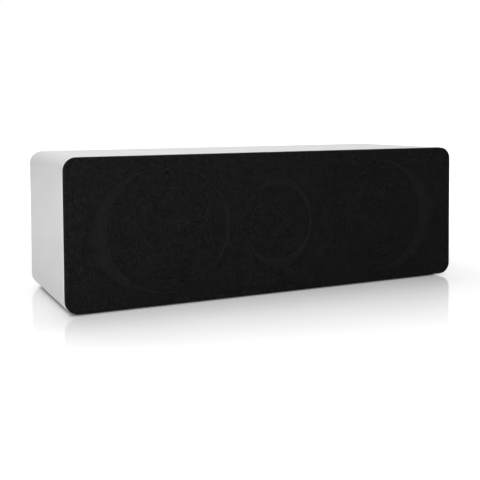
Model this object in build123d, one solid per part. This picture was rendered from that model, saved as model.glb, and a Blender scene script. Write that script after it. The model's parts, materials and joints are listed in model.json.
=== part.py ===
from build123d import *
import math
import os

# A center channel speaker. X runs along its width, the front faces -Y, Z is up, sizes are in mm.
# The origin is the middle of the footprint, on the floor.

# Cabinet
cabinet_width = 520.0
cabinet_height = 170.0
cabinet_depth = 178.0
corner_radius = 15.0
wall = 12.0
edge_rounding = 1.2
baffle_thickness = 18.0
rear_thickness = 15.0
rear_recess = 3.5
panel_corner_relief = 0.5
brace_thickness = 12.0
brace_gap = 8.0
brace_rail = 17.5
brace_window_rounding = 14.0
foot_height = 2.0
foot_radius = 8.0
foot_chamfer = 0.4
foot_inset = 40.0
foot_edge = 24.0

# Grille
grille_thickness = 7.0
cloth = 0.6
grille_inset = 0.4
grille_edge_rounding = 2.0
cloth_turn_in = 9.0
peg_radius = 3.0
peg_length = 8.0
peg_root = 3.5
peg_neck = 0.5
peg_waist_end = 4.0
peg_bulge = 5.6
socket_clearance = 0.3
socket_wall = 1.7
socket_rim = 1.8
socket_rim_thickness = 1.0
socket_floor = 1.2
corner_peg_inset = (26.0, 25.0)
middle_peg_inset = 20.0

# Layout of the drivers: how far a woofer is drawn in from midway between the tweeter and the cabinet's end,
# and how far the openings of the grille frame reach past the drivers
woofer_draw_in = 6.14
driver_recess = 0.3
woofer_opening_margin = 2.1
woofer_bevel_margin = 17.8
woofer_bevel_shift = 10.2
tweeter_opening_margin = 1.0
tweeter_bevel_margins = (3.5, 15.8)

# Clearances
rebate_clearance = 0.4
fit_clearance = 0.1
glue_gap = 0.05
thread_clearance = 0.1

# Driver screws
screw_head_radius = 4.0
screw_head_height = 2.4
screw_radius = 1.9
screw_length = 11.0
screw_tip = 2.5
screw_socket = 1.7
screw_socket_depth = 1.4
counterbore_depth = 2.6

# Woofer: insets from the edge of its flange, radii, and depths behind the front of the flange
flange_margin = 4.0
flange_thickness = 5.0
woofer_hole_inset = 9.5
woofer_screw_inset = 4.8
woofer_screw_count = 6
landing_inset = 10.2
landing_width = 4.2
landing_depth = 3.2
basket_top_inset = 11.0
basket_waist_inset = 25.0
basket_waist_depth = 26.0
basket_wall = 2.2
basket_shoulder = 0.6
basket_window_count = 6
basket_window_length = 15.0
basket_window_rounding = 5.0
basket_window_depth = 16.0
basket_spoke = 10.0
ledge_depth = 28.0
ledge_width = 8.2
ledge_thickness = 2.0
seat_step = 6.0
seat_depth = 38.5
seat_hole = 21.0
roll_radius = 4.4
roll_overlap = 0.2
surround_thickness = 0.8
surround_lip_width = 2.8
cone_rim_step = 0.4
cone_lip_width = 3.0
cone_thickness = 0.9
cone_depth = 19.0
cone_neck = 3.0
cap_radius = 20.5
cap_depth = 8.0
cap_sphere = 32.2
cap_thickness = 0.7
former_radius = 13.2
former_wall = 0.3
winding_thickness = 0.7
winding_length = 11.0
former_tail = 1.5
magnet_gap = 0.5
top_plate_step = 2.0
top_plate_thickness = 5.0
magnet_step = 2.0
magnet_hole = 19.0
magnet_thickness = 15.0
back_plate_thickness = 5.0
pole_vent = 4.0
spider_thickness = 0.5
spider_wave = 1.0
spider_wave_count = 7
spider_first_wave = 18.0
spider_margin = 2.8

# Tweeter: radii, and depths behind the front of its faceplate
faceplate_radius = 43.0
faceplate_thickness = 4.5
tweeter_hole_inset = 11.0
tweeter_screw_inset = 5.5
tweeter_screw_count = 4
horn_inset = 16.0
horn_throat = 17.2
horn_depth = 3.0
horn_sag = 0.75
dome_radius = 12.4
dome_front = -0.6
dome_base = 3.5
dome_thickness = 0.5
dome_coil_seat = 0.7
dome_lip = 19.5
dome_lip_depth = 3.9
dome_roll = (14.6, 1.9)
dome_roll_end = 16.8
tweeter_former_radius = 12.6
tweeter_former_wall = 0.25
tweeter_former_length = 5.1
tweeter_winding = (0.4, 2.8)
tweeter_gap = 0.4
tweeter_plate_inset = 5.0
tweeter_plate_thickness = 4.0
tweeter_magnet_inset = 2.0
tweeter_magnet_hole = 16.0
tweeter_magnet_thickness = 10.0
tweeter_vent = 3.0

# Solder tabs and their boards
tag_board = (20.0, 1.6, 14.0)
tag_boss_width = 14.0
tag_boss_height = 1.0
tab = (2.8, 0.8, 14.0)
tab_spacing = 10.0
tweeter_tab_length = 9.0
tweeter_board_height = 8.0
tweeter_board_lift = 14.0

# Reflex port
port_radius = 24.0
port_wall = 2.5
port_flare = 12.0
port_rim = 3.0
port_length = 100.0
rear_flange = 3.0
port_hole_clearance = 0.5

# Terminal cup and binding posts
cup_side = 110.0
cup_flange = (92.0, 72.0, 10.0)
cup_mouth = (68.0, 48.0, 6.0)
cup_draft = 3.0
cup_depth = 24.0
cup_wall = 2.5
cup_cutout_clearance = 1.0
cup_screw = (39.5, 29.5)
cup_screw_radius = 1.5
cup_screw_head = 2.9
cup_screw_head_height = 1.8
cup_screw_length = 12.0
cup_screw_slot = (0.9, 3.2, 1.0)
post_spacing = 30.0
collar_radius = 8.0
collar_height = 2.0
stud_radius = 3.0
stud_shoulder = 6.0
stud_shoulder_thickness = 1.5
stud_tail = 16.0
stud_end_recess = 2.0
plug_bore = 2.05
plug_depth = 14.0
wire_hole = 1.4
insert_radius = 4.8
insert_length = 10.6
post_cap_radius = 6.5
post_cap_length = 16.4
post_cap_chamfer = 0.4
post_cap_flutes = 12
flute_radius = 1.1
flute_offset = 0.4
post_lift = 0.3
nut_across = 10.0
nut_thickness = 5.0

# Crossover
board_size = (120.0, 100.0, 1.6)
board_gap = 5.7
standoff_height = 8.0
standoff_radius = 3.2
board_screw_inset = 6.0
board_screw_radius = 1.5
board_screw_head = 2.8
board_screw_head_height = 2.0
board_screw_bite = 8.0
coil_sizes = ((19.0, 9.0, 16.0, -32.0, -22.0), (15.0, 7.0, 14.0, 8.0, -24.0))
capacitor_radius = 8.0
capacitor_length = 34.0
capacitor_places = ((-34.0, 20.0), (6.0, 20.0), (34.0, -2.0))
capacitor_chamfer = 0.8
resistor_size = (22.0, 9.0, 9.0)
resistor_places = ((-10.0, 4.0), (36.0, -28.0))

# Leads and wadding: a bend takes up its share of the shorter run beside it, up to the widest bend
lead_radius = 1.6
lead_bend = 24.0
lead_bend_share = 0.45
lead_run_y = 30.0
lead_slope = 12.0
lead_landing = 34.0
right_lead_inset = 12.0
tweeter_lead_y = -36.0
tweeter_lead_inset = 6.0
input_lead_radius = 1.2
input_lead_runs = ((20.0, 9.5, 46.0), (14.0, 15.5, 38.0))
wadding_thickness = 40.0
wadding_margin = 6.0
wadding_gap = 0.3
wadding_rounding = 16.0

# Planes and spaces that follow from these sizes
front = -(cabinet_depth + grille_thickness) / 2
baffle_front = front + grille_thickness
baffle_back = baffle_front + baffle_thickness
back = baffle_front + cabinet_depth
rear_face = back - rear_recess
rear_inside = rear_face - rear_thickness
flange_face = rear_face + rear_flange
middle_z = foot_height + cabinet_height / 2
inner_width = cabinet_width - 2 * wall
inner_height = cabinet_height - 2 * wall
driver_front = baffle_front + driver_recess
frame_front = front + cloth

# Sizes and places of the drivers that follow from the cabinet
woofer_x = (faceplate_radius + inner_width / 2) / 2 - woofer_draw_in
flange_radius = inner_height / 2 - flange_margin
woofer_hole = flange_radius - woofer_hole_inset
woofer_screw_circle = flange_radius - woofer_screw_inset
woofer_opening = flange_radius + woofer_opening_margin
landing_radius = flange_radius - landing_inset
landing_inner = landing_radius - landing_width
basket_top = flange_radius - basket_top_inset
basket_waist = flange_radius - basket_waist_inset
basket_window = 2 * basket_waist * math.sin(math.pi / basket_window_count) - basket_spoke
ledge_inner = basket_waist - ledge_width
seat_radius = basket_waist - seat_step
roll_centre = landing_inner + roll_overlap - roll_radius
surround_lip = roll_centre - roll_radius - surround_lip_width
cone_rim = surround_lip + cone_rim_step
cone_lip = cone_rim + cone_lip_width
top_plate_radius = seat_radius - top_plate_step
magnet_radius = seat_radius + magnet_step
tweeter_hole = faceplate_radius - tweeter_hole_inset
tweeter_screw_circle = faceplate_radius - tweeter_screw_inset
tweeter_opening = faceplate_radius + tweeter_opening_margin
horn_mouth = faceplate_radius - horn_inset
tweeter_plate_radius = tweeter_hole - tweeter_plate_inset
tweeter_magnet_radius = tweeter_hole - tweeter_magnet_inset

# Places behind the drivers
cup_x = cabinet_width / 2 - cup_side
wadding_face = inner_width / 2 - wadding_gap - wadding_thickness
board_x = board_gap + board_size[0] / 2 - wadding_face
board_edge = board_x + board_size[0] / 2
board_back = rear_inside - standoff_height
board_front = board_back - board_size[2]
brace_x = -board_edge - brace_gap - brace_thickness / 2


def square_to_y(outline, x, y):
    """A flat outline stood up across Y, at mid height."""
    return Pos(x, y, middle_z) * (Plane.XZ * outline)


def slab(width, height, radius, y0, y1, x=0.0):
    """A plate square to Y with rounded corners, from y0 back to y1."""
    return extrude(square_to_y(RectangleRounded(width, height, radius), x, y1), y1 - y0)


def drum(radius, y0, y1, x=0.0, z=middle_z):
    """A cylinder along Y, from y0 back to y1."""
    return Pos(x, (y0 + y1) / 2, z) * Rot(X=90) * Cylinder(radius, y1 - y0)


def turned(*outline):
    """A body of revolution about Y from joined edges or (radius, depth) points."""
    if isinstance(outline[0], tuple):
        outline = Polyline(*outline, close=True).edges()
    return revolve(make_face(outline), Axis.Y)


def ring(outer, inner, y0, y1):
    """A plain ring about Y."""
    return turned((inner, y0), (outer, y0), (outer, y1), (inner, y1))


def around(count, radius, first=0.0):
    """Places spread evenly on a circle about Y, each turned with its place."""
    return [Rot(Y=first + 360 * n / count) * Pos(radius, 0, 0) for n in range(count)]


def at_driver(x):
    """Where a driver's own origin sits, on the front of its flange."""
    return Pos(x, driver_front, middle_z)


def save(name, *pieces):
    """Writes one node, as one solid or as a group of like solids."""
    solids = [solid for piece in pieces for solid in piece.solids()]
    node = solids[0] if len(solids) == 1 else Compound(solids)
    export_step(node, f"parts/{name}.step")


# Cabinet sleeve, baffle, rear panel, braces and feet

def cabinet_sleeve():
    block = slab(cabinet_width, cabinet_height, corner_radius, baffle_front, back)
    block = fillet(block.faces().sort_by(Axis.Y)[0].edges(), edge_rounding)
    block = fillet(block.faces().sort_by(Axis.Y)[-1].edges(), edge_rounding)
    return block - slab(inner_width, inner_height, corner_radius - wall, baffle_front, back)


def panel(y0, y1):
    """A board that closes the sleeve."""
    return slab(inner_width, inner_height, corner_radius - wall + panel_corner_relief, y0, y1)


def driver_seat(x, rim, thickness, hole, screws):
    """What one driver takes out of the baffle: a rebate, a hole and pilots for its screws."""
    seat = driver_front + thickness
    pilot = screw_radius + fit_clearance
    pilot_end = driver_front + counterbore_depth + screw_length + rebate_clearance
    space = drum(rim + rebate_clearance, baffle_front, seat, x)
    space += drum(hole, baffle_front, baffle_back, x)
    for place in screws:
        space += Pos(x, 0, middle_z) * place * drum(pilot, seat, pilot_end, z=0)
    return space


def front_baffle():
    board = panel(baffle_front, baffle_back)
    for x in (-woofer_x, woofer_x):
        board -= driver_seat(x, flange_radius, flange_thickness, woofer_hole, woofer_screws)
    board -= driver_seat(0.0, faceplate_radius, faceplate_thickness, tweeter_hole, tweeter_screws)
    for x, z in peg_places():
        rim_radius = peg_radius + socket_clearance + socket_wall + socket_rim + fit_clearance
        board -= drum(rim_radius, baffle_front, baffle_front + socket_rim_thickness, x, z)
        cup_radius = peg_radius + socket_clearance + socket_wall + fit_clearance
        board -= drum(cup_radius, baffle_front, baffle_front + socket_depth() + fit_clearance, x, z)
    return board


def rear_panel():
    board = panel(rear_inside, rear_face)
    board -= drum(port_radius + port_flare - port_rim + port_hole_clearance, rear_inside, rear_face)
    mouth_width, mouth_height, mouth_radius = cup_mouth
    grow = 2 * (cup_wall + cup_cutout_clearance)
    opening = (mouth_width + grow, mouth_height + grow, mouth_radius + grow / 2)
    board -= slab(*opening, rear_inside, rear_face, cup_x)
    for x, z in cup_screw_places():
        board -= drum(cup_screw_radius + fit_clearance, flange_face - cup_screw_length, rear_face, x, z)
    for x, z in board_screw_places():
        end = rear_inside + board_screw_bite + fit_clearance
        board -= drum(board_screw_radius + fit_clearance, rear_inside, end, x, z)
    return board


def brace():
    depth = rear_inside - baffle_back
    rail = 2 * brace_rail
    outline = Rectangle(depth, inner_height)
    outline -= RectangleRounded(depth - rail, inner_height - rail, brace_window_rounding)
    board = extrude(Plane.YZ * outline, brace_thickness / 2, both=True)
    return Pos(0, (baffle_back + rear_inside) / 2, middle_z) * board


def rubber_feet():
    foot = Cylinder(foot_radius, foot_height, align=(Align.CENTER, Align.CENTER, Align.MIN))
    foot = chamfer(foot.edges().group_by(Axis.Z)[0], foot_chamfer)
    rows = (baffle_front + foot_edge, back - foot_edge)
    foot_x = cabinet_width / 2 - foot_inset
    return [Pos(x, y, 0) * foot for x in (-foot_x, foot_x) for y in rows]


# Grille: a frame with bevelled openings, its cloth, its pegs and their sockets

def peg_places():
    side_inset, top_inset = corner_peg_inset
    corner_x = cabinet_width / 2 - side_inset
    corner_z = cabinet_height / 2 - top_inset
    middle = cabinet_height / 2 - middle_peg_inset
    corners = [(x, middle_z + z) for x in (-corner_x, corner_x) for z in (-corner_z, corner_z)]
    return corners + [(0.0, middle_z - middle), (0.0, middle_z + middle)]


def socket_depth():
    return peg_length + socket_clearance + socket_floor


def grille_blank(inset, rounding, y0):
    """The grille's full outline, drawn in by the inset and rounded at its front edge."""
    width = cabinet_width - 2 * inset
    height = cabinet_height - 2 * inset
    block = slab(width, height, corner_radius - inset, y0, baffle_front)
    return fillet(block.faces().sort_by(Axis.Y)[0].edges(), rounding)


def frame_blank():
    """The frame before its openings, with a step at the back for the turned-in cloth."""
    inset = grille_inset + cloth
    block = grille_blank(inset, grille_edge_rounding, frame_front)
    step_front = baffle_front - cloth
    step_inset = inset + cloth_turn_in
    outer = slab(cabinet_width, cabinet_height, corner_radius, step_front, baffle_front)
    inner = slab(
        cabinet_width - 2 * step_inset,
        cabinet_height - 2 * step_inset,
        corner_radius - cloth_turn_in,
        step_front,
        baffle_front,
    )
    return block - (outer - inner)


def bevelled_opening(x, opening, bevel, shift):
    """The way through the frame: round at the back, widening to an ellipse under the cloth."""
    back_circle = square_to_y(Circle(opening), x, baffle_front)
    front_ellipse = square_to_y(Ellipse(*bevel), x + shift, frame_front)
    return loft([back_circle, front_ellipse])


def grille_frame():
    frame = frame_blank()
    woofer_bevel = (flange_radius + woofer_bevel_margin, woofer_opening)
    for side in (-1, 1):
        frame -= bevelled_opening(side * woofer_x, woofer_opening, woofer_bevel, side * woofer_bevel_shift)
    tweeter_bevel = [faceplate_radius + margin for margin in tweeter_bevel_margins]
    frame -= bevelled_opening(0.0, tweeter_opening, tweeter_bevel, 0.0)
    for x, z in peg_places():
        frame -= drum(peg_radius + glue_gap, baffle_front - peg_root, baffle_front, x, z)
    return frame


def grille_cloth():
    return grille_blank(grille_inset, grille_edge_rounding + cloth, front) - frame_blank()


def grille_peg():
    """A peg with a waist behind its tapered tip, drawn from the back of the frame."""
    waist = peg_radius - peg_neck
    return turned(
        (0, -peg_root),
        (peg_radius, -peg_root),
        (peg_radius, 0),
        (waist, peg_neck),
        (waist, peg_waist_end),
        (peg_radius, peg_bulge),
        (waist, peg_length),
        (0, peg_length),
    )


def grille_socket():
    inner = peg_radius + socket_clearance
    outer = inner + socket_wall
    depth = socket_depth()
    return turned(
        (inner, 0),
        (outer + socket_rim, 0),
        (outer + socket_rim, socket_rim_thickness),
        (outer, socket_rim_thickness),
        (outer, depth),
        (0, depth),
        (0, depth - socket_floor),
        (inner, depth - socket_floor),
    )


# Screws

def driver_screw():
    """A socket head screw, drawn from the top of its head."""
    tip = screw_head_height + screw_length
    screw = turned(
        (0, 0),
        (screw_head_radius, 0),
        (screw_head_radius, screw_head_height),
        (screw_radius, screw_head_height),
        (screw_radius, tip - screw_tip),
        (0, tip),
    )
    socket = Plane.XZ * RegularPolygon(screw_socket, 6)
    return screw - extrude(socket, -screw_socket_depth)


def screw_ring(count, circle):
    """Places of a driver's screws, with the first pair either side of the top."""
    return around(count, circle, 180 / count)


def driver_screws(places):
    lift = counterbore_depth - screw_head_height
    return [place * Pos(0, lift, 0) * driver_screw() for place in places]


def screw_holes(body, places, thickness):
    """Counterbored holes for a ring of driver screws."""
    for place in places:
        body -= place * drum(screw_head_radius + rebate_clearance, 0, counterbore_depth, z=0)
        body -= place * drum(screw_radius + rebate_clearance, 0, thickness, z=0)
    return body


# Woofer

def woofer_basket():
    """Flange, open spokes, ledge for the spider and seat for the magnet in one casting."""
    basket = turned(
        (landing_radius, 0),
        (flange_radius, 0),
        (flange_radius, flange_thickness),
        (basket_top, flange_thickness),
        (basket_waist, basket_waist_depth),
        (basket_waist, ledge_depth + ledge_thickness),
        (seat_radius, ledge_depth + ledge_thickness),
        (seat_radius, seat_depth),
        (seat_hole, seat_depth),
        (seat_hole, seat_depth - basket_wall),
        (ledge_inner, seat_depth - basket_wall),
        (ledge_inner, ledge_depth),
        (basket_waist - basket_wall, ledge_depth),
        (basket_waist - basket_wall, basket_waist_depth - basket_shoulder),
        (basket_top - basket_wall, flange_thickness),
        (landing_inner, flange_thickness),
        (landing_inner, landing_depth),
        (landing_radius, landing_depth),
    )
    opening = RectangleRounded(basket_window_length, basket_window, basket_window_rounding)
    window = extrude(Plane.YZ * opening, flange_radius - ledge_inner)
    for place in around(basket_window_count, ledge_inner):
        basket -= place * Pos(0, basket_window_depth, 0) * window
    boss_depth = ledge_depth + ledge_thickness - basket_waist_depth
    boss_root = basket_waist - basket_wall / 2
    boss_top = basket_waist + tag_boss_height
    boss = Box(tag_boss_width, boss_depth, boss_top - boss_root)
    basket += Pos(0, basket_waist_depth + boss_depth / 2, (boss_root + boss_top) / 2) * boss
    return screw_holes(basket, woofer_screws, flange_thickness)


def woofer_surround():
    """A half roll of rubber with a flat lip on each side."""
    lip_front = landing_depth - surround_thickness
    inside = roll_radius - surround_thickness
    reach = (roll_radius**2 - surround_thickness**2) ** 0.5
    outer_lip = landing_radius - rebate_clearance
    return turned(
        Line((outer_lip, lip_front), (roll_centre + reach, lip_front)),
        ThreePointArc(
            (roll_centre + reach, lip_front),
            (roll_centre, landing_depth - roll_radius),
            (roll_centre - reach, lip_front),
        ),
        *Polyline(
            (roll_centre - reach, lip_front),
            (surround_lip, lip_front),
            (surround_lip, landing_depth),
            (roll_centre - inside, landing_depth),
        ).edges(),
        ThreePointArc(
            (roll_centre - inside, landing_depth),
            (roll_centre, landing_depth - inside),
            (roll_centre + inside, landing_depth),
        ),
        *Polyline(
            (roll_centre + inside, landing_depth),
            (outer_lip, landing_depth),
            (outer_lip, lip_front),
        ).edges(),
    )


def woofer_cone():
    """A paper cone with a flat lip under the surround and a collar round the voice coil."""
    neck = former_radius + glue_gap
    neck_end = cone_depth + cone_neck
    lip_back = landing_depth + cone_thickness
    return turned(
        (cone_lip, landing_depth),
        (cone_rim, landing_depth),
        (neck, cone_depth),
        (neck, neck_end),
        (neck + cone_thickness, neck_end),
        (neck + cone_thickness, cone_depth + cone_thickness),
        (cone_rim, lip_back),
        (cone_lip, lip_back),
    )


def dust_cap():
    """A shallow dome, trimmed where it meets the face of the cone."""
    centre = cap_depth + cap_sphere
    shell = drum(cap_radius, 0, centre, z=0) & (
        Pos(0, centre, 0) * (Sphere(cap_sphere) - Sphere(cap_sphere - cap_thickness))
    )
    neck = former_radius + glue_gap
    cone_face = ((cone_rim, landing_depth), (neck, cone_depth))
    behind_cone = turned(*cone_face, (neck, centre), (cone_rim, centre))
    return shell - behind_cone


def woofer_spider():
    """A corrugated ring that centres the voice coil."""
    inner = former_radius + glue_gap
    front_depth = ledge_depth - spider_thickness
    first = spider_first_wave
    last = ledge_inner - spider_margin
    outer = basket_waist - basket_wall - rebate_clearance
    count = spider_wave_count
    pitch = (last - first) / (count - 1)
    waves = [(first + n * pitch, front_depth + spider_wave * (-1) ** n) for n in range(count)]
    face = [(inner, front_depth), (first - pitch, front_depth), *waves]
    face += [(last + pitch, front_depth), (outer, front_depth)]
    rear = [(radius, depth + spider_thickness) for radius, depth in reversed(face)]
    return turned(*face, *rear)


def voice_coil(radius, thickness, start, end, winding, winding_start, winding_end):
    """A former with its winding, about Y."""
    return turned(
        (radius - thickness, start),
        (radius, start),
        (radius, winding_start),
        (radius + winding, winding_start),
        (radius + winding, winding_end),
        (radius, winding_end),
        (radius, end),
        (radius - thickness, end),
    )


def yoke(pole, vent, plate, y0, y1, y2):
    """A pole from y0 with a round plate behind it, from y1 to y2, and a vent through both."""
    return turned((vent, y0), (pole, y0), (pole, y1), (plate, y1), (plate, y2), (vent, y2))


def woofer_pieces():
    plate_back = seat_depth + top_plate_thickness
    magnet_back = plate_back + magnet_thickness
    gap_middle = seat_depth + top_plate_thickness / 2
    winding_start = gap_middle - winding_length / 2
    winding_end = gap_middle + winding_length / 2
    coil = voice_coil(
        former_radius,
        former_wall,
        cone_depth + glue_gap,
        winding_end + former_tail,
        winding_thickness,
        winding_start,
        winding_end,
    )
    gap_outer = former_radius + winding_thickness + magnet_gap
    pole = former_radius - former_wall - magnet_gap
    yoke_back = magnet_back + back_plate_thickness
    plate = yoke(pole, pole_vent, top_plate_radius, seat_depth, magnet_back, yoke_back)
    return {
        "basket": [woofer_basket()],
        "surround": [woofer_surround()],
        "cone": [woofer_cone()],
        "dust_cap": [dust_cap()],
        "spider": [woofer_spider()],
        "voice_coil": [coil],
        "top_plate": [ring(top_plate_radius, gap_outer, seat_depth, plate_back)],
        "magnet": [ring(magnet_radius, magnet_hole, plate_back, magnet_back)],
        "yoke": [plate],
        "screws": driver_screws(woofer_screws),
    }


# Tweeter

def tweeter_faceplate():
    """A round plate with a short horn in front of the dome and a step behind it for the dome's lip."""
    lip_radius = dome_lip + rebate_clearance
    lip_front = dome_lip_depth - fit_clearance
    horn = ThreePointArc(
        (horn_throat, horn_depth),
        ((horn_throat + horn_mouth) / 2 - horn_sag, horn_sag),
        (horn_mouth, 0),
    )
    plate = turned(
        *Polyline(
            (horn_mouth, 0),
            (faceplate_radius, 0),
            (faceplate_radius, faceplate_thickness),
            (lip_radius, faceplate_thickness),
            (lip_radius, lip_front),
            (horn_throat, lip_front),
            (horn_throat, horn_depth),
        ).edges(),
        horn,
    )
    return screw_holes(plate, tweeter_screws, faceplate_thickness)


def sphere_depth(radius, rim, apex, at):
    """Depth, at one radius, of a dome from its apex on the axis to its rim."""
    height = rim - apex
    sphere = (radius**2 + height**2) / (2 * height)
    return apex + sphere - (sphere**2 - at**2) ** 0.5


def tweeter_dome():
    """A soft dome, its roll and its clamped lip, pressed from one piece of fabric."""
    coil_seat = dome_base + dome_coil_seat
    inside = tweeter_former_radius - 2 * tweeter_former_wall
    outside = tweeter_former_radius + tweeter_former_wall
    lip_back = dome_lip_depth + dome_thickness
    inner_front = dome_front + dome_thickness
    roll_radius_at, roll_front = dome_roll
    half = dome_radius / 2
    return turned(
        ThreePointArc(
            (0, dome_front),
            (half, sphere_depth(dome_radius, dome_base, dome_front, half)),
            (dome_radius, dome_base),
        ),
        ThreePointArc(
            (dome_radius, dome_base),
            (roll_radius_at, roll_front),
            (dome_roll_end, dome_lip_depth),
        ),
        *Polyline(
            (dome_roll_end, dome_lip_depth),
            (dome_lip, dome_lip_depth),
            (dome_lip, lip_back),
            (dome_roll_end, lip_back),
        ).edges(),
        ThreePointArc(
            (dome_roll_end, lip_back),
            (roll_radius_at, roll_front + dome_thickness),
            (outside, coil_seat),
        ),
        Line((outside, coil_seat), (inside, coil_seat)),
        ThreePointArc(
            (inside, coil_seat),
            (half, sphere_depth(inside, coil_seat, inner_front, half)),
            (0, inner_front),
        ),
        Line((0, inner_front), (0, dome_front)),
    )


def tweeter_pieces():
    plate_front = faceplate_thickness
    plate_back = plate_front + tweeter_plate_thickness
    magnet_back = plate_back + tweeter_magnet_thickness
    coil_start = dome_base + dome_coil_seat
    winding, winding_width = tweeter_winding
    winding_start = (plate_front + plate_back - winding_width) / 2
    coil = voice_coil(
        tweeter_former_radius,
        tweeter_former_wall,
        coil_start,
        coil_start + tweeter_former_length,
        winding,
        winding_start,
        winding_start + winding_width,
    )
    pole = tweeter_former_radius - tweeter_former_wall - tweeter_gap
    gap_outer = tweeter_former_radius + winding + tweeter_gap
    yoke_back = magnet_back + tweeter_plate_thickness
    return {
        "faceplate": [tweeter_faceplate()],
        "dome": [tweeter_dome()],
        "voice_coil": [coil],
        "top_plate": [ring(tweeter_plate_radius, gap_outer, plate_front, plate_back)],
        "magnet": [ring(tweeter_magnet_radius, tweeter_magnet_hole, plate_back, magnet_back)],
        "yoke": [yoke(pole, tweeter_vent, tweeter_plate_radius, plate_front, magnet_back, yoke_back)],
        "screws": driver_screws(tweeter_screws),
    }, yoke_back


# Solder tabs

def woofer_tags():
    """A tag board on the boss of the basket, and two tabs on top of it."""
    width, thickness, length = tag_board
    tab_width, tab_thickness, tab_length = tab
    seat = basket_waist + tag_boss_height
    start = basket_waist_depth
    board = Pos(0, start + length / 2, seat + thickness / 2) * Box(width, length, thickness)
    tab_start = start + length - tab_length / 2
    height = seat + thickness + tab_thickness / 2
    blade = Pos(0, tab_start + tab_length / 2, height) * Box(tab_width, tab_length, tab_thickness)
    return board, [Pos(x, 0, 0) * blade for x in (-tab_spacing / 2, tab_spacing / 2)]


def tweeter_tags(yoke_back):
    """A tag board on the back of the yoke, with two tabs standing on it."""
    width, thickness, _ = tag_board
    tab_width, tab_thickness, _ = tab
    board = Box(width, thickness, tweeter_board_height)
    board = Pos(0, yoke_back + thickness / 2, tweeter_board_lift) * board
    start = yoke_back + thickness
    blade = Box(tab_width, tweeter_tab_length, tab_thickness)
    blade = Pos(0, start + tweeter_tab_length / 2, tweeter_board_lift) * blade
    return board, [Pos(x, 0, 0) * blade for x in (-tab_spacing / 2, tab_spacing / 2)]


# Reflex port

def port_tube():
    """A tube with a flared mouth of even thickness and a rim that lies on the rear panel."""
    start = flange_face - port_length
    bend = flange_face - port_flare
    lip = port_radius + port_flare
    outer = port_radius + port_wall
    arc_middle = 0.5**0.5
    back_radius = port_flare - port_wall
    reach = (back_radius**2 - (rear_face - bend) ** 2) ** 0.5
    tube = turned(
        Line((port_radius, start), (port_radius, bend)),
        ThreePointArc(
            (port_radius, bend),
            (lip - port_flare * arc_middle, bend + port_flare * arc_middle),
            (lip, flange_face),
        ),
        *Polyline(
            (lip, flange_face),
            (lip + port_rim, flange_face),
            (lip + port_rim, rear_face),
            (lip - reach, rear_face),
        ).edges(),
        ThreePointArc(
            (lip - reach, rear_face),
            (lip - back_radius * arc_middle, bend + back_radius * arc_middle),
            (outer, bend),
        ),
        *Polyline((outer, bend), (outer, start), (port_radius, start)).edges(),
    )
    return Pos(0, 0, middle_z) * tube


# Terminal cup and binding posts

def cup_screw_places():
    dx, dz = cup_screw
    return [(cup_x + x, middle_z + z) for x in (-dx, dx) for z in (-dz, dz)]


def post_places():
    return {"red": cup_x + post_spacing / 2, "black": cup_x - post_spacing / 2}


def drafted_block(grow, y0, y1):
    """A rounded block that narrows to the front, as large as the cup's mouth plus an allowance."""
    width, height, radius = (size + grow for size in cup_mouth)
    small = 2 * cup_draft
    mouth = RectangleRounded(width, height, radius)
    floor = RectangleRounded(width - small, height - small, radius - cup_draft / 2)
    return loft([square_to_y(mouth, cup_x, y1), square_to_y(floor, cup_x, y0)])


def cup_floor():
    """Where the outer face of the cup's floor lies."""
    return flange_face - cup_depth


def terminal_cup():
    floor = cup_floor()
    cup = slab(*cup_flange, rear_face, flange_face, cup_x)
    cup += drafted_block(2 * cup_wall, floor - cup_wall, rear_face)
    cup -= drafted_block(0, floor, flange_face)
    for x in post_places().values():
        cup += drum(collar_radius, floor, floor + collar_height, x)
        cup -= drum(stud_radius + fit_clearance, floor - cup_wall, floor + collar_height, x)
    for x, z in cup_screw_places():
        sink = turned(
            (0, 0),
            (cup_screw_radius + fit_clearance, 0),
            (cup_screw_radius + fit_clearance, rear_flange - cup_screw_head_height),
            (cup_screw_head + fit_clearance, rear_flange),
            (0, rear_flange),
        )
        cup -= Pos(x, rear_face, z) * sink
    return cup


def cup_screws():
    length = cup_screw_length
    screw = turned(
        (0, -length),
        (cup_screw_radius, cup_screw_radius - length),
        (cup_screw_radius, -cup_screw_head_height),
        (cup_screw_head, 0),
        (0, 0),
    )
    width, across, depth = cup_screw_slot
    for size in ((width, across), (across, width)):
        screw -= Pos(0, -depth / 2, 0) * Box(size[0], depth, size[1])
    return [Pos(x, flange_face - glue_gap, z) * screw for x, z in cup_screw_places()]


def post_stud():
    """A threaded stud with a shoulder, a wire hole across it and a bore for a plug in its end."""
    shoulder = cup_floor() + collar_height
    shoulder_back = shoulder + stud_shoulder_thickness
    end = flange_face - stud_end_recess
    stud = turned(
        (0, shoulder - stud_tail),
        (stud_radius, shoulder - stud_tail),
        (stud_radius, shoulder),
        (stud_shoulder, shoulder),
        (stud_shoulder, shoulder_back),
        (stud_radius, shoulder_back),
        (stud_radius, end),
        (plug_bore, end),
        (plug_bore, end - plug_depth),
        (0, end - plug_depth),
    )
    hole = Pos(0, shoulder_back + wire_hole + post_lift, 0) * Cylinder(wire_hole, 2 * stud_shoulder)
    return stud - hole


def post_seat():
    """Where the insert stops above the stud's shoulder."""
    return cup_floor() + collar_height + stud_shoulder_thickness + post_lift


def post_insert():
    start = post_seat()
    return ring(insert_radius, stud_radius + thread_clearance, start, start + insert_length)


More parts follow.
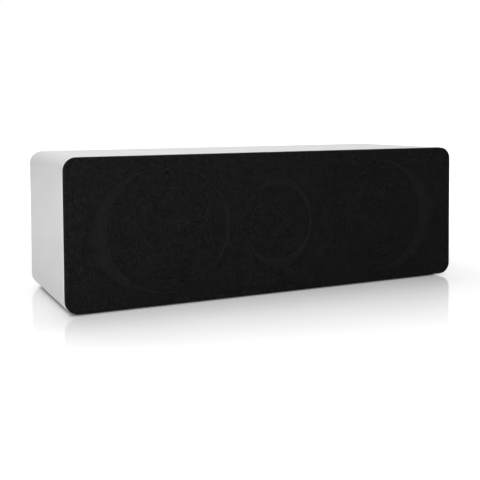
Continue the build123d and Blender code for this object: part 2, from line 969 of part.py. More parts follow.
def post_cap():
    """A fluted grip with a pocket for the insert and an open end for a plug."""
    start = post_seat() + post_lift
    end = start + post_cap_length
    pocket = insert_radius + glue_gap
    pocket_end = post_seat() + insert_length + post_lift
    bore = stud_radius + socket_clearance
    cap = turned(
        (pocket, start),
        (post_cap_radius, start),
        (post_cap_radius, end),
        (bore, end),
        (bore, pocket_end),
        (pocket, pocket_end),
    )
    rim = cap.faces().sort_by(Axis.Y)[-1].edges().sort_by(SortBy.LENGTH)[-1]
    cap = chamfer(rim, post_cap_chamfer)
    for place in around(post_cap_flutes, post_cap_radius + flute_offset):
        cap -= place * drum(flute_radius, start, end, z=0)
    return cap


def post_nut():
    end = cup_floor() - cup_wall
    hexagon = Plane.XZ * RegularPolygon(nut_across / 2, 6, major_radius=False)
    nut = Pos(0, end, 0) * extrude(hexagon, nut_thickness)
    return nut - drum(stud_radius + glue_gap, end - nut_thickness, end, z=0)


# Crossover

def board_screw_places():
    dx = board_size[0] / 2 - board_screw_inset
    dz = board_size[1] / 2 - board_screw_inset
    return [(board_x + x, middle_z + z) for x in (-dx, dx) for z in (-dz, dz)]


def crossover_board():
    width, height, thickness = board_size
    board = Pos(board_x, board_front + thickness / 2, middle_z) * Box(width, thickness, height)
    for x, z in board_screw_places():
        board -= drum(board_screw_radius + fit_clearance, board_front, board_back, x, z)
    return board


def crossover_standoffs():
    tube = ring(standoff_radius, board_screw_radius + fit_clearance, board_back, rear_inside)
    return [Pos(x, 0, z) * tube for x, z in board_screw_places()]


def crossover_screws():
    screw = turned(
        (0, board_front - board_screw_head_height),
        (board_screw_head, board_front - board_screw_head_height),
        (board_screw_head, board_front),
        (board_screw_radius, board_front),
        (board_screw_radius, rear_inside + board_screw_bite - board_screw_radius),
        (0, rear_inside + board_screw_bite),
    )
    return [Pos(x, 0, z) * screw for x, z in board_screw_places()]


def crossover_coils():
    coils = []
    for outer, inner, length, x, z in coil_sizes:
        coil = ring(outer, inner, board_front - length, board_front)
        coils.append(Pos(board_x + x, 0, middle_z + z) * coil)
    return coils


def crossover_capacitors():
    body = Rot(Y=90) * Cylinder(capacitor_radius, capacitor_length)
    body = chamfer(body.edges().filter_by(GeomType.CIRCLE), capacitor_chamfer)
    depth = board_front - capacitor_radius
    return [Pos(board_x + x, depth, middle_z + z) * body for x, z in capacitor_places]


def crossover_resistors():
    width, thickness, height = resistor_size
    body = Box(width, thickness, height)
    depth = board_front - thickness / 2
    return [Pos(board_x + x, depth, middle_z + z) * body for x, z in resistor_places]


# Leads and wadding

def lead(radius, *points):
    """A round lead whose bends are as wide as the runs between its points leave room for."""
    places = [Vector(*point) for point in points]
    runs = [end - begin for begin, end in zip(places, places[1:])]
    bends = []
    for run, after in zip(runs, runs[1:]):
        half_turn = math.radians(run.get_angle(after) / 2)
        room = lead_bend_share * min(run.length, after.length)
        bends.append(min(lead_bend, room / math.tan(half_turn)))
    route = FilletPolyline(*points, radius=bends)
    start = Plane(origin=route @ 0, z_dir=route % 0)
    return sweep(start * Circle(radius), path=route)


def woofer_leads():
    """From each woofer's tag board to the crossover, where both leads come down to one height."""
    _, thickness, length = tag_board
    start_y = driver_front + basket_waist_depth + length / 2
    start_z = middle_z + basket_waist + tag_boss_height + thickness + lead_radius
    landing_y = lead_run_y + lead_slope
    landing_z = middle_z + lead_landing
    right_end = board_edge - right_lead_inset
    left = lead(
        lead_radius,
        (-woofer_x, start_y, start_z),
        (-woofer_x, lead_run_y, start_z),
        (-woofer_x, landing_y, landing_z),
        (-woofer_x, board_front, landing_z),
    )
    right = lead(
        lead_radius,
        (woofer_x, start_y, start_z),
        (woofer_x, lead_run_y, start_z),
        (right_end, lead_run_y, start_z),
        (right_end, landing_y, landing_z),
        (right_end, board_front, landing_z),
    )
    return [left, right]


def tweeter_lead(yoke_back):
    start_y = driver_front + yoke_back + tag_board[1]
    height = middle_z + tweeter_board_lift
    end_x = board_edge - tweeter_lead_inset
    return lead(
        lead_radius,
        (0.0, start_y, height),
        (0.0, tweeter_lead_y, height),
        (end_x, tweeter_lead_y, height),
        (end_x, board_front, height),
    )


def input_leads():
    """From each post down to the braces' windows, along the cabinet and back to the crossover."""
    start = cup_floor() + collar_height - stud_tail
    leads = []
    window_floor = middle_z - inner_height / 2 + brace_rail
    for x, (y, lift, offset) in zip(sorted(post_places().values()), input_lead_runs):
        z = window_floor + lift
        end_x = board_x + offset
        leads.append(
            lead(
                input_lead_radius,
                (x, start, middle_z),
                (x, y, middle_z),
                (x, y, z),
                (end_x, y, z),
                (end_x, board_front, z),
            )
        )
    return leads


def wadding():
    depth = rear_inside - baffle_back - 2 * wadding_margin
    height = inner_height - 2 * wadding_margin
    outline = RectangleRounded(depth, height, wadding_rounding)
    pad = extrude(Plane.YZ * outline, wadding_thickness / 2, both=True)
    x = wadding_face + wadding_thickness / 2
    y = (baffle_back + rear_inside) / 2
    return [Pos(side * x, y, middle_z) * pad for side in (-1, 1)]


os.makedirs("parts", exist_ok=True)

woofer_screws = screw_ring(woofer_screw_count, woofer_screw_circle)
tweeter_screws = screw_ring(tweeter_screw_count, tweeter_screw_circle)

save("cabinet_sleeve", cabinet_sleeve())
save("front_baffle", front_baffle())
save("rear_panel", rear_panel())
save("brace_left", Pos(-brace_x, 0, 0) * brace())
save("brace_right", Pos(brace_x, 0, 0) * brace())
save("rubber_feet", *rubber_feet())

save("grille_frame", grille_frame())
save("grille_cloth", grille_cloth())
save("grille_pegs", *[Pos(x, baffle_front, z) * grille_peg() for x, z in peg_places()])
save("grille_sockets", *[Pos(x, baffle_front, z) * grille_socket() for x, z in peg_places()])

woofer = woofer_pieces()
tag, tabs = woofer_tags()
tag_boards = []
solder_tabs = []
for side, x in (("left", -woofer_x), ("right", woofer_x)):
    for piece, solids in woofer.items():
        save(f"woofer_{side}_{piece}", *[at_driver(x) * solid for solid in solids])
    tag_boards.append(at_driver(x) * tag)
    solder_tabs += [at_driver(x) * blade for blade in tabs]

tweeter, tweeter_back = tweeter_pieces()
for piece, solids in tweeter.items():
    save(f"tweeter_{piece}", *[at_driver(0.0) * solid for solid in solids])
tag, tabs = tweeter_tags(tweeter_back)
tag_boards.append(at_driver(0.0) * tag)
solder_tabs += [at_driver(0.0) * blade for blade in tabs]
save("tag_boards", *tag_boards)
save("solder_tabs", *solder_tabs)

save("port_tube", port_tube())
save("terminal_cup", terminal_cup())
save("terminal_screws", *cup_screws())
for colour, x in post_places().items():
    place = Pos(x, 0, middle_z)
    save(f"{colour}_post_stud", place * post_stud())
    save(f"{colour}_post_insert", place * post_insert())
    save(f"{colour}_post_cap", place * post_cap())
save("terminal_nuts", *[Pos(x, 0, middle_z) * post_nut() for x in post_places().values()])

save("crossover_board", crossover_board())
save("crossover_standoffs", *crossover_standoffs())
save("crossover_screws", *crossover_screws())
save("crossover_coils", *crossover_coils())
save("crossover_capacitors", *crossover_capacitors())
save("crossover_resistors", *crossover_resistors())

save("woofer_leads", *woofer_leads())
save("tweeter_lead", tweeter_lead(tweeter_back))
save("input_leads", *input_leads())
save("wadding", *wadding())
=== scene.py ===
import json
import math

import bmesh
import bpy
from mathutils import Matrix, Vector, noise
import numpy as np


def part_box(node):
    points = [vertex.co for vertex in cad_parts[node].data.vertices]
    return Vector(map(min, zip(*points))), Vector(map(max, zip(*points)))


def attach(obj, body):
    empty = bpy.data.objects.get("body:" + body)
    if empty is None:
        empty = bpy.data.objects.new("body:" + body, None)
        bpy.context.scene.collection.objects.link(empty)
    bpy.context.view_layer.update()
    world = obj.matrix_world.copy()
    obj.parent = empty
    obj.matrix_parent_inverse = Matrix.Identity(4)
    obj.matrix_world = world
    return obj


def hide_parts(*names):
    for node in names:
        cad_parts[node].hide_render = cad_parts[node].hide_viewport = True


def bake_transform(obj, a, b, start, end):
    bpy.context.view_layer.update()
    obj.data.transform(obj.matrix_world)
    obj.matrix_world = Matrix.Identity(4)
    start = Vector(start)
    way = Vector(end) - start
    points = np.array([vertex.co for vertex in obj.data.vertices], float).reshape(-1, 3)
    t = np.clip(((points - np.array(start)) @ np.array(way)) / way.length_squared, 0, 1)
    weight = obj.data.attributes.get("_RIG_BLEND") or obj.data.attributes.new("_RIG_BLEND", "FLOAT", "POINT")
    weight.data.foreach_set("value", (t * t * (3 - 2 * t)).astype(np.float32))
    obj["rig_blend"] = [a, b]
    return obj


# The look of a center channel speaker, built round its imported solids. Lengths are in metres.

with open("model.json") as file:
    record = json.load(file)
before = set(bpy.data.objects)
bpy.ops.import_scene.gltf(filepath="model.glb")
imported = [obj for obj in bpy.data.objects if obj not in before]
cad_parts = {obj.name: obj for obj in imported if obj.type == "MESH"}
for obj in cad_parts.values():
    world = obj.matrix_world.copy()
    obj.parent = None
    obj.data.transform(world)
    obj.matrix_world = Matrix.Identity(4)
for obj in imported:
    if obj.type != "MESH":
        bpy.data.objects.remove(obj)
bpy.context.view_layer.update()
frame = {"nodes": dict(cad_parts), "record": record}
nodes = frame["nodes"]
scene = bpy.context.scene


# Materials

# Most values of a noise pattern lie between these two
noise_low = 0.3
noise_high = 0.7

# What the wave texture multiplies a coordinate by, besides its scale
wave_factor = 20


class Finish:
    """A Principled material, and the patterns that give it grain, uneven gloss and relief."""

    def __init__(self, name, colour, roughness, **values):
        self.material = bpy.data.materials.new(name)
        self.material.use_nodes = True
        self.tree = self.material.node_tree
        self.shader = self.tree.nodes["Principled BSDF"]
        self.shader.inputs["Base Color"].default_value = (*colour, 1.0)
        self.shader.inputs["Roughness"].default_value = roughness
        for socket, value in values.items():
            self.shader.inputs[socket.replace("_", " ")].default_value = value
        self.relief = None

    def node(self, kind, **inputs):
        made = self.tree.nodes.new("ShaderNode" + kind)
        for name, value in inputs.items():
            self.feed(made.inputs[name.replace("_", " ")], value)
        return made

    def feed(self, socket, value):
        if isinstance(value, bpy.types.NodeSocket):
            self.tree.links.new(value, socket)
        else:
            socket.default_value = value

    def place(self, stretch=(1, 1, 1)):
        """Coordinates in metres in the speaker's own frame, stretched along its axes."""
        where = self.node("TexCoord").outputs["Object"]
        return self.node("Mapping", Vector=where, Scale=stretch).outputs["Vector"]

    def noise(self, scale, detail=3.0, stretch=(1, 1, 1)):
        made = self.node("TexNoise", Vector=self.place(stretch), Scale=scale, Detail=detail)
        return made.outputs["Fac"]

    def cells(self, scale, stretch=(1, 1, 1)):
        made = self.node("TexVoronoi", Vector=self.place(stretch), Scale=scale)
        return made.outputs["Distance"]

    def bands(self, pitch, direction, distortion=0.0):
        """Even bands along X, Y or Z, one every pitch."""
        made = self.node("TexWave", Vector=self.place(), Scale=band_scale(pitch), Distortion=distortion)
        made.bands_direction = direction
        return made.outputs["Fac"]

    def depth(self):
        """The Y coordinate, which grows from the front to the back."""
        where = self.node("TexCoord").outputs["Object"]
        return self.node("SeparateXYZ", Vector=where).outputs["Y"]

    def vector(self, operation, value, other=(0, 0, 0)):
        made = self.node("VectorMath", Vector=value)
        made.operation = operation
        self.feed(made.inputs[1], other)
        return made.outputs["Vector"]

    def length(self, value):
        made = self.node("VectorMath", Vector=value)
        made.operation = "LENGTH"
        return made.outputs["Value"]

    def times(self, value, other):
        made = self.node("Math", Value=value)
        made.operation = "MULTIPLY"
        self.feed(made.inputs[1], other)
        return made.outputs["Value"]

    def range(self, value, low, high, start=0.0, end=1.0):
        """A pattern's values from start to end, drawn out from low to high."""
        limits = {"From_Min": start, "From_Max": end, "To_Min": low, "To_Max": high}
        return self.node("MapRange", Value=value, **limits).outputs["Result"]

    def colours(self, pattern, dark, light, start=noise_low, end=noise_high):
        """Base colour from dark to light over the pattern's values from start to end."""
        made = self.node("Mix")
        made.data_type = "RGBA"
        first, second = made.inputs[6], made.inputs[7]
        first.default_value = (*dark, 1.0)
        second.default_value = (*light, 1.0)
        self.feed(made.inputs["Factor"], self.range(pattern, 0.0, 1.0, start, end))
        self.feed(self.shader.inputs["Base Color"], made.outputs[2])
        return self

    def gloss(self, pattern, low, high):
        """Roughness from low to high over the pattern."""
        self.feed(self.shader.inputs["Roughness"], self.range(pattern, low, high, noise_low, noise_high))
        return self

    def raised(self, pattern, height, strength=1.0):
        """Relief of a height in metres, on top of any relief the finish already has."""
        made = self.node("Bump", Height=pattern, Distance=height, Strength=strength)
        if self.relief is not None:
            self.feed(made.inputs["Normal"], self.relief)
        self.relief = made.outputs["Normal"]
        self.feed(self.shader.inputs["Normal"], self.relief)
        return self


def band_scale(pitch):
    """The wave texture's scale that gives one band every pitch."""
    return 2 * math.pi / (wave_factor * pitch)


def grey(level, tint=0.0):
    """A neutral colour, a little warm or cool by the tint."""
    return (level * (1 + tint), level, level * (1 - tint))


finishes = {}


def finish(name, *args, **values):
    """A finish, kept by its name so that the record's material slots find it."""
    finishes[name] = Finish(name, *args, **values)
    return finishes[name]


white = finish("white_sleeve", grey(0.75), 0.42, Specular_IOR_Level=0.35)
white.colours(white.noise(7.0), grey(0.752, 0.003), grey(0.768, 0.007))
white.gloss(white.noise(60.0), 0.38, 0.48)
white.raised(white.noise(1500.0, 2.0), 0.00005, 0.35)

board = finish("black_board", grey(0.022), 0.5)
board.colours(board.noise(30.0), grey(0.017), grey(0.028))
board.gloss(board.noise(220.0), 0.42, 0.6)
board.raised(board.cells(1100.0), 0.00022, 0.5)

raw = finish("raw_board", (0.42, 0.30, 0.19), 0.85)
raw.colours(raw.noise(900.0, 5.0, (1, 0.35, 1)), (0.34, 0.235, 0.145), (0.50, 0.37, 0.25))
raw.raised(raw.noise(1600.0, 4.0), 0.00015, 0.6)

# Black on the frame's face and back, and greyer down the bevels of its openings
face_depth = 0.0001
bevel_depth = 0.0036
back_start = 0.0005
back_depth = 0.0002
frame_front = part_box("grille_frame")[0].y
frame_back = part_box("grille_frame")[1].y
frame_board = finish("frame_board", grey(0.05), 0.55)
depth = frame_board.depth()
past_face = frame_board.range(depth, 0.0, 1.0, frame_front + face_depth, frame_front + bevel_depth)
before_back = frame_board.range(depth, 1.0, 0.0, frame_back - back_start, frame_back - back_depth)
frame_board.colours(frame_board.times(past_face, before_back), grey(0.02), (0.25, 0.25, 0.29), 0.0, 1.0)
frame_board.gloss(frame_board.noise(300.0), 0.45, 0.65)
frame_board.raised(frame_board.noise(1400.0), 0.00012, 0.5)

rubber = finish("foot_rubber", grey(0.02), 0.75)
rubber.colours(rubber.noise(180.0), grey(0.015), grey(0.026))
rubber.raised(rubber.noise(2600.0), 0.00008, 0.6)

plastic = finish("black_plastic", grey(0.022), 0.42)
plastic.colours(plastic.noise(60.0), grey(0.018), grey(0.026))
plastic.gloss(plastic.noise(500.0), 0.36, 0.5)
plastic.raised(plastic.cells(3200.0), 0.00006, 0.5)

red = finish("red_plastic", (0.55, 0.025, 0.022), 0.32)
red.colours(red.noise(120.0), (0.50, 0.02, 0.018), (0.60, 0.03, 0.027))
red.raised(red.cells(3200.0), 0.00005, 0.4)

basket = finish("basket_metal", grey(0.03), 0.5, Metallic=0.2)
basket.colours(basket.noise(80.0), grey(0.024), grey(0.037))
basket.gloss(basket.noise(400.0), 0.4, 0.58)
basket.raised(basket.noise(2200.0, 2.0), 0.0001, 0.7)

surround = finish("surround_rubber", grey(0.018), 0.55)
surround.colours(surround.noise(140.0), grey(0.014), grey(0.023))
surround.gloss(surround.noise(260.0), 0.46, 0.66)
surround.raised(surround.noise(3000.0), 0.00005, 0.5)

cone = finish("cone_paper", grey(0.03), 0.6, Sheen_Weight=0.05)
cone.colours(cone.noise(1300.0, 6.0), grey(0.016), grey(0.03))
cone.gloss(cone.noise(700.0), 0.48, 0.72)
cone.raised(cone.noise(1800.0, 5.0), 0.00018, 0.7)

cap = finish("cap_plastic", grey(0.03), 0.38)
cap.colours(cap.noise(200.0), grey(0.025), grey(0.036))
cap.gloss(cap.noise(500.0), 0.3, 0.46)
cap.raised(cap.noise(2400.0), 0.00005, 0.4)

spider = finish("spider_cloth", (0.55, 0.40, 0.16), 0.8)
spider.colours(spider.bands(0.0009, "X", 1.5), (0.46, 0.33, 0.12), (0.66, 0.50, 0.23))
spider.raised(spider.bands(0.0009, "Z", 1.5), 0.0002, 0.8)

copper = finish("copper", (0.66, 0.30, 0.13), 0.32, Metallic=0.9)
copper.colours(copper.noise(300.0), (0.58, 0.25, 0.10), (0.74, 0.36, 0.17))
copper.raised(copper.bands(0.0007, "Y"), 0.0003, 0.9)

steel = finish("steel", grey(0.5), 0.38, Metallic=1.0)
steel.colours(steel.noise(90.0), grey(0.42, 0.02), grey(0.56, 0.01))
steel.gloss(steel.noise(700.0, 3.0, (1, 0.1, 1)), 0.3, 0.5)

bright_steel = finish("bright_steel", grey(0.58), 0.3, Metallic=1.0)
bright_steel.colours(bright_steel.noise(150.0), grey(0.5, -0.02), grey(0.64))
bright_steel.raised(bright_steel.bands(0.0008, "Y"), 0.0002, 0.5)

ferrite = finish("ferrite", grey(0.07), 0.6)
ferrite.colours(ferrite.noise(260.0, 5.0), grey(0.05), grey(0.095))
ferrite.raised(ferrite.noise(900.0, 4.0), 0.0001, 0.6)

black_steel = finish("black_steel", grey(0.025), 0.36, Metallic=0.6)
black_steel.colours(black_steel.noise(400.0), grey(0.018), grey(0.034))
black_steel.gloss(black_steel.noise(900.0), 0.28, 0.46)

dome = finish("dome_fabric", grey(0.02), 0.62, Sheen_Weight=0.35)
dome.colours(dome.noise(400.0), grey(0.015), grey(0.026))
dome.raised(dome.bands(0.0005, "X"), 0.00008, 0.6)
dome.raised(dome.bands(0.0005, "Z"), 0.00008, 0.6)

brass = finish("brass", (0.80, 0.56, 0.22), 0.24, Metallic=1.0)
brass.colours(brass.noise(220.0), (0.74, 0.50, 0.19), (0.86, 0.62, 0.27))
brass.gloss(brass.noise(800.0), 0.18, 0.32)

thread = finish("threaded_brass", (0.80, 0.56, 0.22), 0.26, Metallic=1.0)
thread.colours(thread.noise(220.0), (0.74, 0.50, 0.19), (0.86, 0.62, 0.27))
thread.raised(thread.bands(0.001, "Y"), 0.0005, 1.0)

laminate = finish("fibre_board", (0.06, 0.15, 0.07), 0.45)
laminate.colours(laminate.noise(120.0), (0.05, 0.13, 0.06), (0.075, 0.175, 0.085))
laminate.raised(laminate.bands(0.0012, "X"), 0.00005, 0.5)

film = finish("capacitor_film", (0.62, 0.48, 0.12), 0.28)
film.colours(film.noise(160.0), (0.56, 0.43, 0.10), (0.68, 0.54, 0.16))
film.raised(film.bands(0.0018, "X"), 0.00006, 0.4)

cement = finish("resistor_ceramic", grey(0.74), 0.85)
cement.colours(cement.noise(500.0, 5.0), grey(0.66, 0.02), grey(0.82, 0.03))
cement.raised(cement.noise(1400.0, 4.0), 0.0002, 0.7)

sheath = finish("lead_sheath", grey(0.06), 0.5)
sheath.colours(sheath.noise(150.0), grey(0.05), grey(0.075))
sheath.raised(sheath.noise(900.0), 0.00008, 0.5)

fibre = finish("wadding", grey(0.8), 0.95, Sheen_Weight=0.3)
fibre.colours(fibre.noise(320.0, 6.0), grey(0.68), grey(0.88))
fibre.raised(fibre.noise(700.0, 6.0), 0.002, 0.8)

for part in frame["record"]["subparts"]:
    for slot in nodes[part["node"]].material_slots:
        slot.material = finishes.get(part["material_slot"], plastic).material
for name in ("red_post_stud", "black_post_stud", "terminal_nuts"):
    for slot in nodes[name].material_slots:
        slot.material = thread.material


def as_piece(name, mesh):
    """An object from a bmesh, smooth and with its faces turned outward."""
    bmesh.ops.recalc_face_normals(mesh, faces=mesh.faces)
    data = bpy.data.meshes.new(name)
    mesh.to_mesh(data)
    mesh.free()
    data.shade_smooth()
    piece = bpy.data.objects.new(name, data)
    scene.collection.objects.link(piece)
    return piece


# Grille cloth: a sheet over the front of the frame, round its edges and turned in behind it

# Insets of the sheet in its solid, its bends, and how far it reaches in behind the frame
front_inset = 0.00002
back_inset = 0.0003
outline_corner = 0.0146
edge_round = 0.0026
back_round = 0.0005
turn_in = 0.0095

# Spacing of the sheet's grid, and its faces across a corner and round a bend
cloth_step = 0.006
corner_steps = 5
bend_steps = 6

# Thread to thread, size of the lighter and darker tufts, and how much the knit's holes still cover
weave_pitch = 0.0011
tuft_size = 0.0013
hole_cover = 0.42
hole_start = 0.35
hole_end = 0.75

cloth_low, cloth_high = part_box("grille_cloth")
front_y = cloth_low.y + front_inset
back_y = cloth_high.y - back_inset
middle_z = (cloth_low.z + cloth_high.z) / 2
flat_half_width = (cloth_high.x - cloth_low.x) / 2 - edge_round
flat_half_height = (cloth_high.z - cloth_low.z) / 2 - edge_round
corner_round = outline_corner - edge_round


def cloth_lines(half):
    """Grid lines across the flat of the cloth, closer together in its rounded corners."""
    straight = half - corner_round
    count = round(2 * straight / cloth_step)
    lines = [straight * (2 * n / count - 1) for n in range(count + 1)]
    corner = [straight + corner_round * n / corner_steps for n in range(1, corner_steps + 1)]
    return [-c for c in reversed(corner)] + lines + corner


def straight_part(x, z):
    """The nearest point that lies clear of the rounded corners and edges."""
    limit_x = flat_half_width - corner_round
    limit_z = flat_half_height - corner_round
    return Vector((max(-limit_x, min(limit_x, x)), 0, max(-limit_z, min(limit_z, z))))


def rounded(x, z):
    """A grid point, moved so that the grid's square corners become round."""
    centre = straight_part(x, z)
    a = (x - centre.x) / corner_round
    b = (z - centre.z) / corner_round
    u = a * math.sqrt(1 - b * b / 2)
    v = b * math.sqrt(1 - a * a / 2)
    return centre + corner_round * Vector((u, 0, v))


def cloth_profile():
    """From the flat front to the turned-in edge: (distance out from the flat, y, length of cloth)."""
    points = []
    for n in range(1, bend_steps + 1):
        turn = math.pi / 2 * n / bend_steps
        points.append((edge_round * math.sin(turn), front_y + edge_round * (1 - math.cos(turn))))
    for n in range(bend_steps + 1):
        turn = math.pi / 2 * n / bend_steps
        out = edge_round - back_round * (1 - math.cos(turn))
        points.append((out, back_y - back_round * (1 - math.sin(turn))))
    points.append((edge_round - turn_in, back_y))
    profile = []
    length = 0.0
    last = (0.0, front_y)
    for point in points:
        length += math.dist(last, point)
        profile.append((*point, length))
        last = point
    return profile


def cloth_sheet():
    """The flat front, then rings of faces round its edges. Its points keep their place in the flat cloth."""
    mesh = bmesh.new()
    flat = mesh.verts.layers.float_vector.new("weave")
    columns = cloth_lines(flat_half_width)
    rows = cloth_lines(flat_half_height)
    grid = []
    for z in rows:
        line = []
        for x in columns:
            p = rounded(x, z)
            vert = mesh.verts.new((p.x, front_y, middle_z + p.z))
            vert[flat] = (p.x, p.z, 0)
            line.append(vert)
        grid.append(line)
    for low, high in zip(grid, grid[1:]):
        for a, b, c, d in zip(low, low[1:], high[1:], high):
            mesh.faces.new((a, b, c, d))
    rim = grid[0][:-1] + [line[-1] for line in grid[:-1]]
    rim += grid[-1][:0:-1] + [line[0] for line in grid[:0:-1]]
    base = [Vector((v.co.x, 0, v.co.z - middle_z)) for v in rim]
    outward = [(p - straight_part(p.x, p.z)).normalized() for p in base]
    ring = rim
    for out, y, length in cloth_profile():
        wider = []
        for p, way in zip(base, outward):
            place = p + way * out
            vert = mesh.verts.new((place.x, y, middle_z + place.z))
            spread = p + way * length
            vert[flat] = (spread.x, spread.z, 0)
            wider.append(vert)
        for n in range(len(ring)):
            m = (n + 1) % len(ring)
            mesh.faces.new((ring[n], wider[n], wider[m], ring[m]))
        ring = wider
    return as_piece("grille_fabric", mesh)


def cloth_finish():
    """Black knit: crossing threads with small holes between them."""
    cloth = finish("grille_cloth", grey(0.006), 0.8, Specular_IOR_Level=0.02)
    where = cloth.node("Attribute")
    where.attribute_name = "weave"
    threads = []
    for direction in "XY":
        made = cloth.node("TexWave", Vector=where.outputs["Vector"], Scale=band_scale(weave_pitch))
        made.bands_direction = direction
        threads.append(made.outputs["Fac"])
    knit = cloth.times(*threads)
    tufts = cloth.node("TexVoronoi", Vector=where.outputs["Vector"], Scale=1 / tuft_size)
    cloth.colours(tufts.outputs["Color"], grey(0.0045), grey(0.0149, -0.01), 0.2, 0.8)
    cloth.raised(knit, 0.0003, 0.6)
    cloth.feed(cloth.shader.inputs["Alpha"], cloth.range(knit, 1.0, hole_cover, hole_start, hole_end))
    return cloth


fabric = cloth_sheet()
fabric.data.materials.append(cloth_finish().material)
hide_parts("grille_cloth")
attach(fabric, "grille")


# Surrounds, spiders and dome: the same pieces, bending between what holds them and the diaphragm

# Inside the first radius a piece moves with the diaphragm, and outside the second it stays still
surround_flex = (0.0460, 0.0548)
spider_flex = (0.0155, 0.0355)
dome_flex = (0.0129, 0.0168)


def flexing(name, source, body, flex):
    """A copy of a node that bends between the cabinet and a diaphragm."""
    inner, outer = flex
    piece = bpy.data.objects.new(name, nodes[source].data.copy())
    scene.collection.objects.link(piece)
    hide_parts(source)
    low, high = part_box(source)
    centre = (low + high) / 2
    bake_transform(piece, "cabinet", body, start=centre + Vector((outer, 0, 0)), end=centre)
    weights = piece.data.attributes["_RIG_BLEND"].data
    for vert, weight in zip(piece.data.vertices, weights):
        radius = math.hypot(vert.co.x - centre.x, vert.co.z - centre.z)
        share = max(0.0, min(1.0, (outer - radius) / (outer - inner)))
        weight.value = share * share * (3 - 2 * share)


for side in ("left", "right"):
    diaphragm = f"{side}_diaphragm"
    flexing(f"{side}_surround_roll", f"woofer_{side}_surround", diaphragm, surround_flex)
    flexing(f"{side}_spider_ring", f"woofer_{side}_spider", diaphragm, spider_flex)
flexing("dome_skin", "tweeter_dome", "tweeter_diaphragm", dome_flex)


# Wadding: a pad of loose fibre at each end of the cabinet

# Size and grid of a pad, how blunt its edges are, its inset in its solid, and its lumps
pad_thickness = 0.04
pad_cuts = 15
pad_power = 7.0
pad_inset = 0.0015
lump_height = 0.0035
lump_scale = 28.0


def wadding_pad(name, low, high):
    """A cube drawn out to a pad with blunt edges, dented in soft lumps."""
    centre = (low + high) / 2
    half = (high - low) / 2
    mesh = bmesh.new()
    bmesh.ops.create_cube(mesh, size=2.0)
    bmesh.ops.subdivide_edges(mesh, edges=mesh.edges, cuts=pad_cuts, use_grid_fill=True)
    for vert in mesh.verts:
        p = vert.co.copy()
        reach = sum(abs(c) ** pad_power for c in p) ** (1 / pad_power)
        p /= reach
        place = Vector([c * (h - pad_inset) for c, h in zip(p, half)])
        dent = lump_height * (0.5 + 0.5 * noise.noise(place * lump_scale))
        vert.co = centre + place - place.normalized() * dent
    piece = as_piece(name, mesh)
    piece.data.materials.append(fibre.material)
    piece.modifiers.new("rounder", "SUBSURF").render_levels = 1
    return piece


low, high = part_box("wadding")
for name, start, end in (
    ("left_wadding", low, Vector((low.x + pad_thickness, high.y, high.z))),
    ("right_wadding", Vector((high.x - pad_thickness, low.y, low.z)), high),
):
    pad = wadding_pad(name, start, end)
    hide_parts("wadding")
    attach(pad, "cabinet")


# Camera, as the photograph was taken

camera_at = Vector((-0.4509, -0.9236, 0.2123))
yaw = math.radians(25.59)
pitch = math.radians(2.58)
roll_angle = math.radians(-0.35)
focal_pixels = 789.2
middle_row = 153.7
image_side = 480
sensor = 36.0
near_limit = 0.01

right = Vector((math.cos(yaw), -math.sin(yaw), 0))
forward = Vector((math.sin(yaw) * math.cos(pitch), math.cos(yaw) * math.cos(pitch), -math.sin(pitch)))
up = right.cross(forward)
tilted_right = right * math.cos(roll_angle) + up * math.sin(roll_angle)
tilted_up = up * math.cos(roll_angle) - right * math.sin(roll_angle)
lens = bpy.data.cameras.new("camera")
lens.sensor_width = sensor
lens.lens = focal_pixels / image_side * sensor
lens.shift_y = (middle_row - image_side / 2) / image_side
lens.clip_start = near_limit
camera = bpy.data.objects.new("camera", lens)
axes = Matrix((tilted_right, tilted_up, -forward)).transposed()
camera.matrix_world = Matrix.Translation(camera_at) @ axes.to_4x4()
scene.collection.objects.link(camera)
scene.camera = camera


# Floor, world and lights

floor_side = 12.0
sky_light = 0.13

# The floor's own glow as the camera sees it, lower near the speaker as a painted shade round it, and between
# which distances it grows to plain white
floor_lift = 0.46
lift_near = 0.30
lift_far = 0.9

# The patch under the speaker that has no glow, a painted contact shade: half its sides, and the width of its
# soft edge
painted_shade_half = (0.251, 0.084, 0)
painted_shade_edge = 0.004

# The floor's mirror: its strength at the patch, how far from it the mirror fades out, and its roughness
polish = 1.42
polish_reach = 0.36
polish_roughness = 0.05


def seen_directly(tree):
    """One for rays that come from the camera, by a reflection or through glass, and zero for light."""
    path = tree.nodes.new("ShaderNodeLightPath")
    total = path.outputs["Is Camera Ray"]
    for output in ("Is Glossy Ray", "Is Transmission Ray"):
        add = tree.nodes.new("ShaderNodeMath")
        add.use_clamp = True
        tree.links.new(total, add.inputs[0])
        tree.links.new(path.outputs[output], add.inputs[1])
        total = add.outputs["Value"]
    return total


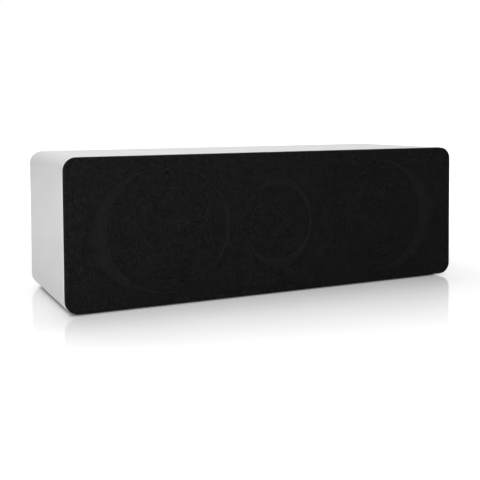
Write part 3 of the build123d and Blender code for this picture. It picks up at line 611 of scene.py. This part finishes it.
def studio_floor():
    """White board, polished where the speaker stands, with a painted shade: no glow under the speaker, and a
    glow that grows to plain white farther off.
    """
    mesh = bmesh.new()
    bmesh.ops.create_grid(mesh, x_segments=2, y_segments=2, size=floor_side / 2)
    floor = as_piece("floor", mesh)
    paint = Finish("floor", grey(0.93), 0.6)
    paint.gloss(paint.noise(9.0), 0.55, 0.65)
    paint.shader.inputs["Emission Color"].default_value = (1, 1, 1, 1)
    spot = paint.place((1, 1, 0))
    # Painted shade round the speaker: the glow is lowest near it and grows to plain white farther off
    lift = paint.range(paint.length(spot), floor_lift, 1.0, lift_near, lift_far)
    # Painted contact shade: no glow in the patch under the speaker
    outside = paint.vector("SUBTRACT", paint.vector("ABSOLUTE", spot), painted_shade_half)
    gap = paint.length(paint.vector("MAXIMUM", outside))
    open_floor = paint.times(paint.range(gap, 0.0, 1.0, 0.0, painted_shade_edge), seen_directly(paint.tree))
    paint.feed(paint.shader.inputs["Emission Strength"], paint.times(open_floor, lift))
    fading = paint.range(gap, polish, 0.0, 0.0, polish_reach)
    weight = paint.times(paint.node("Fresnel").outputs["Fac"], fading)
    mirror = paint.node("BsdfAnisotropic", Roughness=polish_roughness)
    both = paint.node("MixShader")
    paint.feed(both.inputs[0], weight)
    paint.feed(both.inputs[1], paint.shader.outputs["BSDF"])
    paint.feed(both.inputs[2], mirror.outputs["BSDF"])
    paint.feed(paint.tree.nodes["Material Output"].inputs["Surface"], both.outputs["Shader"])
    floor.data.materials.append(paint.material)


def studio_world():
    """White to the camera and in reflections, and a dim sky as a light."""
    world = bpy.data.worlds.new("studio")
    world.use_nodes = True
    scene.world = world
    tree = world.node_tree
    background = tree.nodes["Background"]
    background.inputs["Color"].default_value = (1, 1, 1, 1)
    level = tree.nodes.new("ShaderNodeMapRange")
    level.inputs["To Min"].default_value = sky_light
    level.inputs["To Max"].default_value = 1.0
    tree.links.new(seen_directly(tree), level.inputs["Value"])
    tree.links.new(level.outputs["Result"], background.inputs["Strength"])


def softbox(name, place, target, size, power):
    """An area light turned to a target, which reflections don't show."""
    lamp = bpy.data.lights.new(name, "AREA")
    lamp.shape = "RECTANGLE"
    lamp.size, lamp.size_y = size
    lamp.energy = power
    box = bpy.data.objects.new(name, lamp)
    box.location = place
    box.rotation_euler = (Vector(target) - Vector(place)).to_track_quat("-Z", "Y").to_euler()
    box.visible_glossy = False
    scene.collection.objects.link(box)


studio_floor()
studio_world()
softbox("top_light", (0.0, 0.05, 1.7), (0, 0, 0.1), (1.8, 1.2), 13.4)
softbox("back_light", (0.0, 1.0, 1.3), (0, 0, 0.1), (1.4, 0.8), 4.0)
softbox("front_light", (-0.6, -1.0, 0.45), (-0.2, -0.09, 0.07), (0.4, 0.4), 7.2)

scene.view_settings.view_transform = "Standard"
